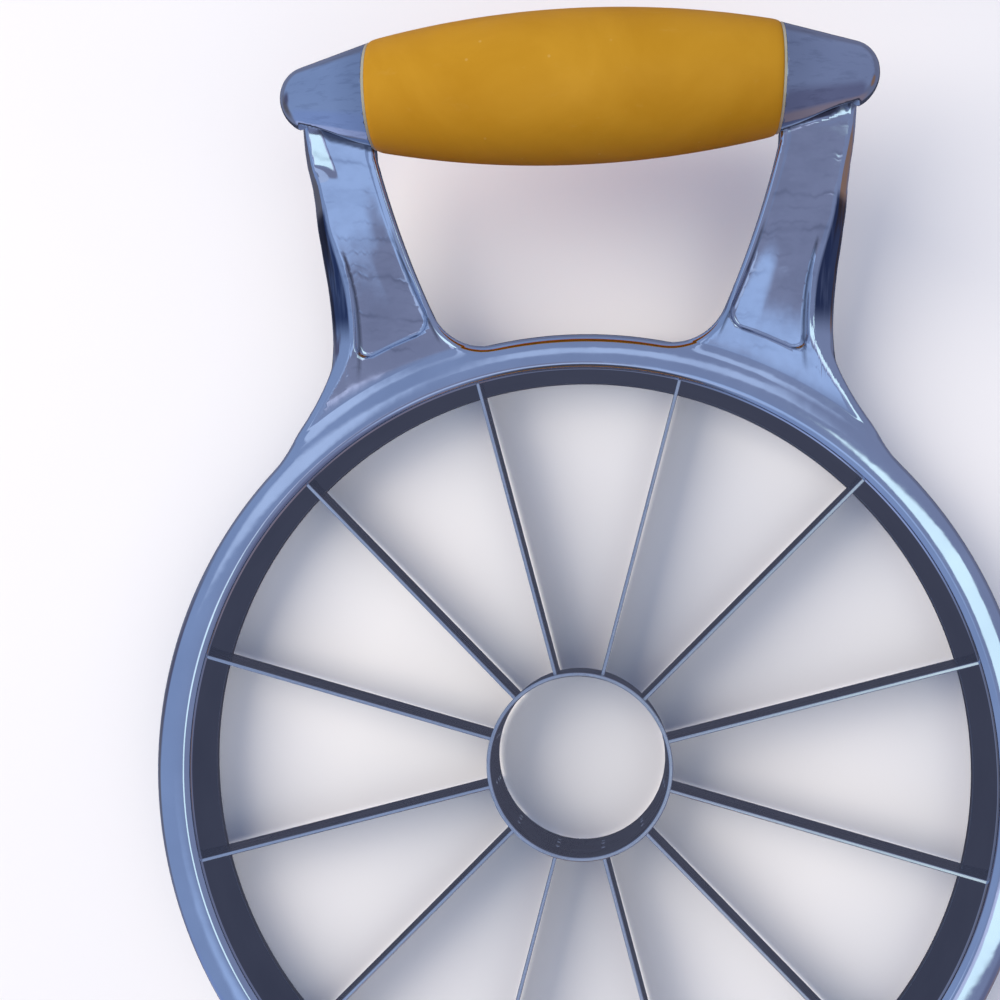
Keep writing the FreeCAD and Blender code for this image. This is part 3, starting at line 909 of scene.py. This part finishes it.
def grip_sleeve(name, sy):
    xe = CAP_X - FLANGE_T
    xc = xe - GRIP_CHAMFER
    rc, re = barrel_r(xc), CAP_R + 0.12
    half = []
    for i in range(57):                       # the barrel's long arc, from the middle out
        xx = xc * i / 56
        half.append((barrel_r(xx), xx))
    half += [(r, xx) for r, xx in bezier2((rc, xc), (rc - 0.30, xe - 0.35), (re, xe - 0.05), 9)][1:]
    half.append((re - 0.10, xe))
    right = half
    left = [(r, -xx) for r, xx in half[1:]][::-1]
    inner = [(barrel_r(xe - 2 * xe * i / 24, SLEEVE_T), xe - 2 * xe * i / 24) for i in range(25)]
    v, q = lathe(name, left + right + inner, 176, axis="x")
    v = v + np.array([0, HANDLE_Y, HANDLE_Z])
    v[:, 1] *= sy
    ob = new_object(name, v * MM, q if sy > 0 else q[:, ::-1])
    shade(ob, 40)
    return ob


def grip_core(name, sy, upper):
    """Half of the hard shell between bar and sleeve, with its end flanges."""
    xe = CAP_X - FLANGE_T
    rf = CAP_R + 0.07
    pr = [(7.05, -CAP_X), (rf - 0.12, -CAP_X - 0.04), (rf, -CAP_X + 0.08), (rf, -xe - 0.02), (rf - 0.1, -xe)]
    pr += [(barrel_r(-xe + 2 * xe * i / 32, SLEEVE_T) - 0.02, -xe + 2 * xe * i / 32) for i in range(33)]
    pr += [(rf - 0.1, xe), (rf, xe + 0.02), (rf, CAP_X - 0.08), (rf - 0.12, CAP_X + 0.04), (7.05, CAP_X)]
    pr += [(7.05, CAP_X - 2 * CAP_X * i / 12) for i in range(1, 12)]
    m_ = len(pr)
    n = 64
    g = 0.02 / 12.0
    a0, a1 = (g, math.pi - g) if upper else (math.pi + g, TAU - g)
    V = []
    for i in range(n + 1):
        a = a0 + (a1 - a0) * i / n
        for r, xx in pr:
            V.append((xx, math.cos(a) * r, math.sin(a) * r))
    F = []
    for i in range(n):
        for j in range(m_):
            k = (j + 1) % m_
            F.append((i * m_ + j, i * m_ + k, (i + 1) * m_ + k, (i + 1) * m_ + j))
    F.append(tuple(range(m_ - 1, -1, -1)))
    F.append(tuple(n * m_ + j for j in range(m_)))
    V = np.array(V) + np.array([0, HANDLE_Y, HANDLE_Z])
    V[:, 1] *= sy
    ob = new_object(name, V * MM, F)
    outward(ob)
    shade(ob, 35)
    return ob


def outward(ob):
    import bmesh
    bm = bmesh.new()
    bm.from_mesh(ob.data)
    bmesh.ops.recalc_face_normals(bm, faces=bm.faces)
    bm.to_mesh(ob.data)
    bm.free()


# ------------------------------------------------------------------ plates and tubes with openings
def plate(name, rs, zs, half, here):
    """A flat blade in the X-Z plane. half[j] is its half thickness at zs[j]; here(i, j) says which
    cells of the (rs, zs) net are steel."""
    nr, nz = len(rs), len(zs)
    vid, V, F = {}, [], []

    def vert(i, j, s):
        k = (i, j, s)
        if k not in vid:
            vid[k] = len(V)
            V.append((rs[i], s * half[j], zs[j]))
        return vid[k]
    on = {(i, j) for i in range(nr - 1) for j in range(nz - 1) if here(i, j)}
    for i, j in sorted(on):
        for s in (1, -1):
            F.append([vert(i, j, s), vert(i + 1, j, s), vert(i + 1, j + 1, s), vert(i, j + 1, s)])
        for di, dj, (a, b) in ((-1, 0, ((i, j), (i, j + 1))), (1, 0, ((i + 1, j), (i + 1, j + 1))),
                               (0, -1, ((i, j), (i + 1, j))), (0, 1, ((i, j + 1), (i + 1, j + 1)))):
            if (i + di, j + dj) not in on:
                F.append([vert(*a, 1), vert(*b, 1), vert(*b, -1), vert(*a, -1)])
    ob = new_object(name, np.array(V) * MM, F)
    outward(ob)
    return ob


def blade(name, deg):
    rs = [22.05, 23.02] + list(np.linspace(23.02, 100.4, 30)[1:]) + [106.4]
    zs = [1.0, 1.12, 2.2, 3.3, 4.35, 4.6, 6.0, 9.0, 12.5, 16.0, 17.0, 18.6, 19.74, 19.93, 20.0]
    half = [0.04, 0.065, 0.17, 0.30, 0.425, 0.45, 0.45, 0.45, 0.45, 0.45, 0.45, 0.45, 0.45, 0.39, 0.27]
    last = len(rs) - 2

    def here(i, j):
        mid = 0.5 * (zs[j] + zs[j + 1])
        if i == 0:
            return 6.0 < mid < 16.0
        if i == last:
            return 4.6 < mid < 17.0
        return True
    ob = plate(name, rs, zs, half, here)
    shade(ob, 14)
    ob.rotation_euler = (0, 0, math.radians(deg))
    bpy.context.view_layer.update()
    return ob


def core_ring():
    zs = [1.0, 1.14, 2.5, 3.95, 4.15, 6.0, 8.5, 11.0, 13.5, 16.0, 19.0, 22.70, 22.90, 23.0]
    ri = [22.03, 22.0, 22.0, 22.0, 22.0, 22.0, 22.0, 22.0, 22.0, 22.0, 22.0, 22.0, 22.06, 22.22]
    ro = [22.09, 22.14, 22.55, 22.96, 23.0, 23.0, 23.0, 23.0, 23.0, 23.0, 23.0, 23.0, 22.94, 22.78]
    hw = math.asin(0.48 / 22.5)
    th = []
    for k in range(12):
        c = math.radians(15 + 30 * k)
        th += [c - hw, c + hw]
        th += list(np.linspace(c + hw, c + math.radians(30) - hw, 15)[1:-1])
    n, nz = len(th), len(zs)
    V = []
    for t in th:
        for j in range(nz):
            V.append((ri[j] * math.cos(t), ri[j] * math.sin(t), zs[j]))
            V.append((ro[j] * math.cos(t), ro[j] * math.sin(t), zs[j]))

    def vid(i, j, s):
        return ((i % n) * nz + j) * 2 + s
    per = 15

    def here(i, j):
        return not (i % per == 0 and zs[j] >= 6.0 and zs[j + 1] <= 16.0)
    F = []
    for i in range(n):
        for j in range(nz - 1):
            if not here(i, j):
                continue
            for s in (0, 1):
                F.append([vid(i, j, s), vid(i + 1, j, s), vid(i + 1, j + 1, s), vid(i, j + 1, s)])
            if j == 0 or not here(i, j - 1):
                F.append([vid(i, j, 0), vid(i + 1, j, 0), vid(i + 1, j, 1), vid(i, j, 1)])
            if j == nz - 2 or not here(i, j + 1):
                F.append([vid(i, j + 1, 0), vid(i + 1, j + 1, 0), vid(i + 1, j + 1, 1), vid(i, j + 1, 1)])
            for k, e in ((i - 1, i), (i + 1, i + 1)):
                if not here(k % n, j):
                    F.append([vid(e, j, 0), vid(e, j, 1), vid(e, j + 1, 1), vid(e, j + 1, 0)])
    used = sorted({a for f in F for a in f})
    new = {a: i for i, a in enumerate(used)}
    parts = [(np.array(V)[used], [[new[a] for a in f] for f in F])]
    # spot welds where each blade's tab meets the ring, on the inside
    for k in range(12):
        for zc in (8.6, 13.4):
            vv, ff = [], []
            rings = [(0.85, -0.06), (0.85, 0.0), (0.66, 0.085), (0.36, 0.135)]
            for rr, h in rings:
                for a in range(14):
                    t = a / 14 * TAU
                    vv.append((22.0 - h, rr * math.cos(t), zc + rr * math.sin(t) * 0.9))
            vv.append((22.0 - 0.15, 0, zc))
            vv.append((22.0 + 0.06, 0, zc))
            for q in range(3):
                for a in range(14):
                    b_ = (a + 1) % 14
                    ff.append((q * 14 + a, q * 14 + b_, (q + 1) * 14 + b_, (q + 1) * 14 + a))
            for a in range(14):
                b_ = (a + 1) % 14
                ff.append((42 + a, 42 + b_, 56))
                ff.append((b_, a, 57))
            parts.append((turned(vv, 15 + 30 * k), ff))
    ob = join("core_ring_tube", parts)
    outward(ob)
    shade(ob, 24)
    return ob


# ------------------------------------------------------------------ retainer ring and screws
def lathed(name, profile, n, at=(0, 0, 0)):
    v, q = lathe(name, profile, n)
    return new_object(name, (v + np.array(at)) * MM, q)


def solid_turn(profile, n):
    """A turned solid whose outline starts and ends on the axis (r, z)."""
    V, F = [(0, 0, profile[0][1])], []
    body = profile[1:-1]
    for r, z in body:
        for a in range(n):
            V.append((r * math.cos(a / n * TAU), r * math.sin(a / n * TAU), z))
    V.append((0, 0, profile[-1][1]))
    last = len(V) - 1
    for a in range(n):
        b_ = (a + 1) % n
        F.append((0, 1 + b_, 1 + a))
        for k in range(len(body) - 1):
            F.append((1 + k * n + a, 1 + k * n + b_, 1 + (k + 1) * n + b_, 1 + (k + 1) * n + a))
        F.append((last, 1 + (len(body) - 1) * n + a, 1 + (len(body) - 1) * n + b_))
    return np.array(V, float), F


SCREW_R = 104.8


def retainer_ring():
    pr = [(100.0, 0.28), (100.06, 0.10), (100.28, 0.0), (103.0, 0.0), (106.0, 0.0), (108.35, 0.0), (108.53, 0.08),
          (108.6, 0.25), (108.6, 2.0), (100.0, 2.0)]
    ob = lathed("blade_retainer", pr, 288)
    cone = [(0, -1.0), (2.96, -1.0), (2.96, 0.0), (2.84, 0.12), (2.84, 0.35), (1.55, 1.65), (1.55, 3.0), (0, 3.0)]
    cutters = []
    for k in range(6):
        v, f = solid_turn(cone, 40)
        v = turned(v + np.array([SCREW_R, 0, 0]), 60 * k)
        c = new_object("seat%d" % k, v * MM, f)
        outward(c)
        cutters.append(c)
    cut(ob, cutters)
    shade(ob, 22)
    return ob


def screw_set():
    head = [(0, 0.17), (2.2, 0.15), (2.62, 0.17), (2.78, 0.28), (2.78, 0.36), (1.5, 1.62), (1.5, 9.7), (0.8, 10.5), (0, 10.5)]
    v, f = solid_turn(head, 40)
    ob = new_object("one_screw", v * MM, f)
    outward(ob)
    cutters = []
    for q in (0, 90):
        w0, w1, l0, l1, z0, z1 = 0.40, 0.24, 1.62, 0.62, -0.3, 1.15
        vv = [(-l0, -w0, z0), (l0, -w0, z0), (l0, w0, z0), (-l0, w0, z0),
              (-l1, -w1, z1), (l1, -w1, z1), (l1, w1, z1), (-l1, w1, z1)]
        ff = [(0, 1, 2, 3), (4, 7, 6, 5), (0, 4, 5, 1), (1, 5, 6, 2), (2, 6, 7, 3), (3, 7, 4, 0)]
        c = new_object("cross%d" % q, turned(vv, q) * MM, ff, smooth=False)
        outward(c)
        cutters.append(c)
    cut(ob, cutters)
    v = np.array([tuple(p.co) for p in ob.data.vertices]) / MM
    f = [tuple(p.vertices) for p in ob.data.polygons]
    bpy.data.objects.remove(ob)
    parts = []
    for k in range(6):
        vv = turned(v, 17 * k + 5) + np.array([SCREW_R, 0, 0])
        parts.append((turned(vv, 60 * k), f))
    ob = join("six_retainer_screws", parts)
    outward(ob)
    shade(ob, 24)
    return ob


# ------------------------------------------------------------------ build everything
chrome = chrome_material()
blade_steel = steel_material("blade_steel", (0.70, 0.71, 0.73), "X")
ring_steel = steel_material("core_ring_steel", (0.68, 0.69, 0.71), "ROUND", (0.22, 0.36))
plate_steel = steel_material("retainer_steel", (0.62, 0.63, 0.65), "ROUND", (0.26, 0.42))
screw_steel = steel_material("screw_steel", (0.58, 0.59, 0.62), "Z", (0.24, 0.36))
rubber = grip_material()
plastic = core_plastic_material()

frame_ob = make_casting()
register(frame_ob, "frame_casting", chrome)
register(retainer_ring(), "blade_retainer_ring", plate_steel)
register(screw_set(), "retainer_screws", screw_steel)
register(core_ring(), "core_ring", ring_steel)
for k in range(12):
    register(blade("blade_plate_%02d" % (k + 1), 15 + 30 * k), "blade_%02d" % (k + 1), blade_steel)
for side, sy in (("rear", 1), ("front", -1)):
    register(grip_core(side + "_lower_shell", sy, False), side + "_grip_lower_core", plastic)
    register(grip_core(side + "_upper_shell", sy, True), side + "_grip_upper_core", plastic)
    register(grip_sleeve(side + "_soft_sleeve", sy), side + "_grip_sleeve", rubber)


# ------------------------------------------------------------------ floor, light
def stage_floor():
    """A plain pale floor. Light that it sends back to the object is dimmer and warmer than its
    own pale tone, as from the edge of a lit table."""
    me = bpy.data.meshes.new("studio_floor")
    me.from_pydata([(-2.5, -2.5, 0), (2.5, -2.5, 0), (2.5, 2.5, 0), (-2.5, 2.5, 0)], [], [(0, 1, 2, 3)])
    ob = bpy.data.objects.new("studio_floor", me)
    scene.collection.objects.link(ob)
    m = Nodes("studio_floor")
    m.set(m.shader, Metallic=0.0, Roughness=0.9)
    m.shader.inputs["Specular IOR Level"].default_value = 0.0
    seen = m.ramp(m.noise(6.0, 2.0), [(0.3, (0.90, 0.89, 0.88)), (0.7, (0.92, 0.91, 0.90))])
    lp = m.nt.nodes.new("ShaderNodeLightPath")
    mx = m.nt.nodes.new("ShaderNodeMix")
    mx.data_type = "RGBA"
    m.link(lp.outputs["Is Camera Ray"], mx.inputs["Factor"])
    mx.inputs["A"].default_value = (0.98, 0.35, 0.0, 1)
    m.link(seen, mx.inputs["B"])
    m.link(mx.outputs["Result"], m.shader.inputs["Base Color"])
    me.materials.append(m.mat)
    ob.visible_glossy = False


def studio_world():
    """Soft room light: cool from above and from the left, warm and dim from the right, dark
    straight in front and below, with bright panels overhead. Seen directly it's plain."""
    w = bpy.data.worlds.new("studio")
    scene.world = w
    w.use_nodes = True
    nt = w.node_tree
    out = nt.nodes["World Output"]
    bg = nt.nodes["Background"]
    direction = nt.nodes.new("ShaderNodeTexCoord").outputs["Generated"]

    def put(v, sock):
        if isinstance(v, bpy.types.NodeSocket):
            nt.links.new(v, sock)
        else:
            sock.default_value = v

    def dot(v):
        n = nt.nodes.new("ShaderNodeVectorMath")
        n.operation = "DOT_PRODUCT"
        nt.links.new(direction, n.inputs[0])
        n.inputs[1].default_value = tuple(map(float, v))
        return n.outputs["Value"]

    def calc(op, a, b_=0.0):
        n = nt.nodes.new("ShaderNodeMath")
        n.operation = op
        put(a, n.inputs[0])
        put(b_, n.inputs[1])
        return n.outputs[0]

    def step(v, lo, hi, to_lo=0.0, to_hi=1.0):
        n = nt.nodes.new("ShaderNodeMapRange")
        n.interpolation_type = "SMOOTHSTEP"
        n.inputs["From Min"].default_value = lo
        n.inputs["From Max"].default_value = hi
        n.inputs["To Min"].default_value = to_lo
        n.inputs["To Max"].default_value = to_hi
        nt.links.new(v, n.inputs["Value"])
        return n.outputs["Result"]

    def mix(fac, a, b_):
        n = nt.nodes.new("ShaderNodeMix")
        n.data_type = "RGBA"
        nt.links.new(fac, n.inputs["Factor"])
        for v, k in ((a, "A"), (b_, "B")):
            put((*v, 1) if isinstance(v, tuple) else v, n.inputs[k])
        return n.outputs["Result"]

    def patch(az, el, wide, tall, inner, outer):
        """1 round the direction (az, el), 0 outside; inner and outer in degrees."""
        a, e = math.radians(az), math.radians(el)
        t = (-math.sin(a) / wide, math.cos(a) / wide, 0.0)
        up = (-math.sin(e) * math.cos(a) / tall, -math.sin(e) * math.sin(a) / tall, math.cos(e) / tall)
        fw = (math.cos(e) * math.cos(a), math.cos(e) * math.sin(a), math.sin(e))
        c = nt.nodes.new("ShaderNodeCombineXYZ")
        nt.links.new(dot(t), c.inputs[0])
        nt.links.new(dot(up), c.inputs[1])
        nt.links.new(calc("MAXIMUM", calc("MULTIPLY", dot(fw), -10.0), 0.0), c.inputs[2])
        ln = nt.nodes.new("ShaderNodeVectorMath")
        ln.operation = "LENGTH"
        nt.links.new(c.outputs[0], ln.inputs[0])
        return step(ln.outputs["Value"], math.sin(math.radians(inner)), math.sin(math.radians(outer)), 1.0, 0.0)

    def window(x0, y0, hx, hy, soft):
        """1 inside an upright rectangle of directions round (x0, y0), above only."""
        a = calc("DIVIDE", calc("ABSOLUTE", calc("SUBTRACT", dot((1, 0, 0)), x0)), hx)
        b_ = calc("DIVIDE", calc("ABSOLUTE", calc("SUBTRACT", dot((0, 1, 0)), y0)), hy)
        return calc("MULTIPLY", step(calc("MAXIMUM", a, b_), 1.0 - soft, 1.0 + soft, 1.0, 0.0), step(dot((0, 0, 1)), 0.0, 0.1))
    side = step(dot((1, 0, 0)), -0.55, 0.45)
    up = mix(side, SKY_LEFT, SKY_RIGHT)
    down = mix(side, LOW_LEFT, LOW_RIGHT)
    sky = mix(step(dot((0, 0, 1)), -0.30, -0.02), down, up)
    for az, el, wide, tall, inner, outer, colour in ROOM:
        sky = mix(patch(az, el, wide, tall, inner, outer), sky, colour)
    for x0, y0, hx, hy, soft, colour in WINDOWS:
        sky = mix(window(x0, y0, hx, hy, soft), sky, colour)
    nt.links.new(sky, bg.inputs["Color"])
    bg.inputs["Strength"].default_value = 1.0
    plain = nt.nodes.new("ShaderNodeBackground")
    plain.inputs["Color"].default_value = (0.84, 0.85, 0.86, 1)
    plain.inputs["Strength"].default_value = 1.0
    lp = nt.nodes.new("ShaderNodeLightPath")
    ms = nt.nodes.new("ShaderNodeMixShader")
    nt.links.new(lp.outputs["Is Camera Ray"], ms.inputs[0])
    nt.links.new(bg.outputs[0], ms.inputs[1])
    nt.links.new(plain.outputs[0], ms.inputs[2])
    nt.links.new(ms.outputs[0], out.inputs["Surface"])


SKY_LEFT, SKY_RIGHT = (0.265, 0.355, 0.585), (0.24, 0.28, 0.44)
LOW_LEFT, LOW_RIGHT = (0.20, 0.225, 0.34), (0.18, 0.195, 0.30)
# azimuth, elevation, width and height factors, full and zero at (degrees), colour
ROOM = [
    (-128, -7, 1.0, 1.15, 16, 32, (0.25, 0.34, 0.61)),
    (-129, -31, 1.3, 1.0, 7, 13, (0.40, 0.465, 0.74)),
    (-52, 2, 1.0, 1.2, 12, 36, (0.155, 0.165, 0.28)),
    (-50, -34, 1.2, 1.0, 10, 24, (0.26, 0.21, 0.26)),
    (-94, 4, 0.85, 1.75, 14, 25, (0.075, 0.07, 0.09)),
    (-177, -17, 1.2, 1.0, 7, 24, (0.142, 0.138, 0.17)),
    (174, 0, 1.0, 1.0, 5, 19, (0.11, 0.112, 0.19)),
    (-4, -17, 1.1, 1.0, 6, 12, (0.275, 0.165, 0.125)),
    (-90, -90, 1.0, 1.0, 41, 47, (0.06, 0.065, 0.10)),
]
# middle (x, y) and half size in direction space, softness of the edge, colour
WINDOWS = [
    (0.045, -0.45, 0.17, 0.15, 0.15, (0.24, 0.263, 0.40)),
    (-0.20, -0.46, 0.115, 0.23, 0.43, (0.44, 0.58, 0.90)),
    (0.0, -0.685, 0.30, 0.095, 0.15, (0.50, 0.60, 0.86)),
    (0.105, -0.235, 0.06, 0.075, 0.2, (0.62, 0.66, 0.92)),
    (0.29, -0.0975, 0.13, 0.2125, 0.08, (0.95, 1.20, 1.30)),
    (-0.31, 0.13, 0.12, 0.09, 0.35, (0.52, 0.64, 0.92)),
    (0.04, 0.25, 0.17, 0.05, 0.35, (0.50, 0.61, 0.88)),
]


def area(name, at, aim, size, power, color, glossy=True, size_y=None):
    d = bpy.data.lights.new(name, "AREA")
    d.shape = "RECTANGLE" if size_y else "SQUARE"
    d.size = size
    if size_y:
        d.size_y = size_y
    d.energy = power
    d.color = color
    ob = bpy.data.objects.new(name, d)
    scene.collection.objects.link(ob)
    ob.location = at
    ob.rotation_euler = (Vector(aim) - Vector(at)).to_track_quat("-Z", "Y").to_euler()
    ob.visible_camera = False
    ob.visible_glossy = glossy
    return ob


stage_floor()
studio_world()
area("key", (-1.0, 0.35, 1.2), (0, 0.05, 0.03), 1.2, 21.5, (1.0, 0.90, 0.76), glossy=False)
area("fill", (0.7, -0.5, 1.3), (0, 0, 0.03), 1.5, 7.0, (1.0, 0.90, 0.76), glossy=False)
scene.view_settings.view_transform = "Standard"
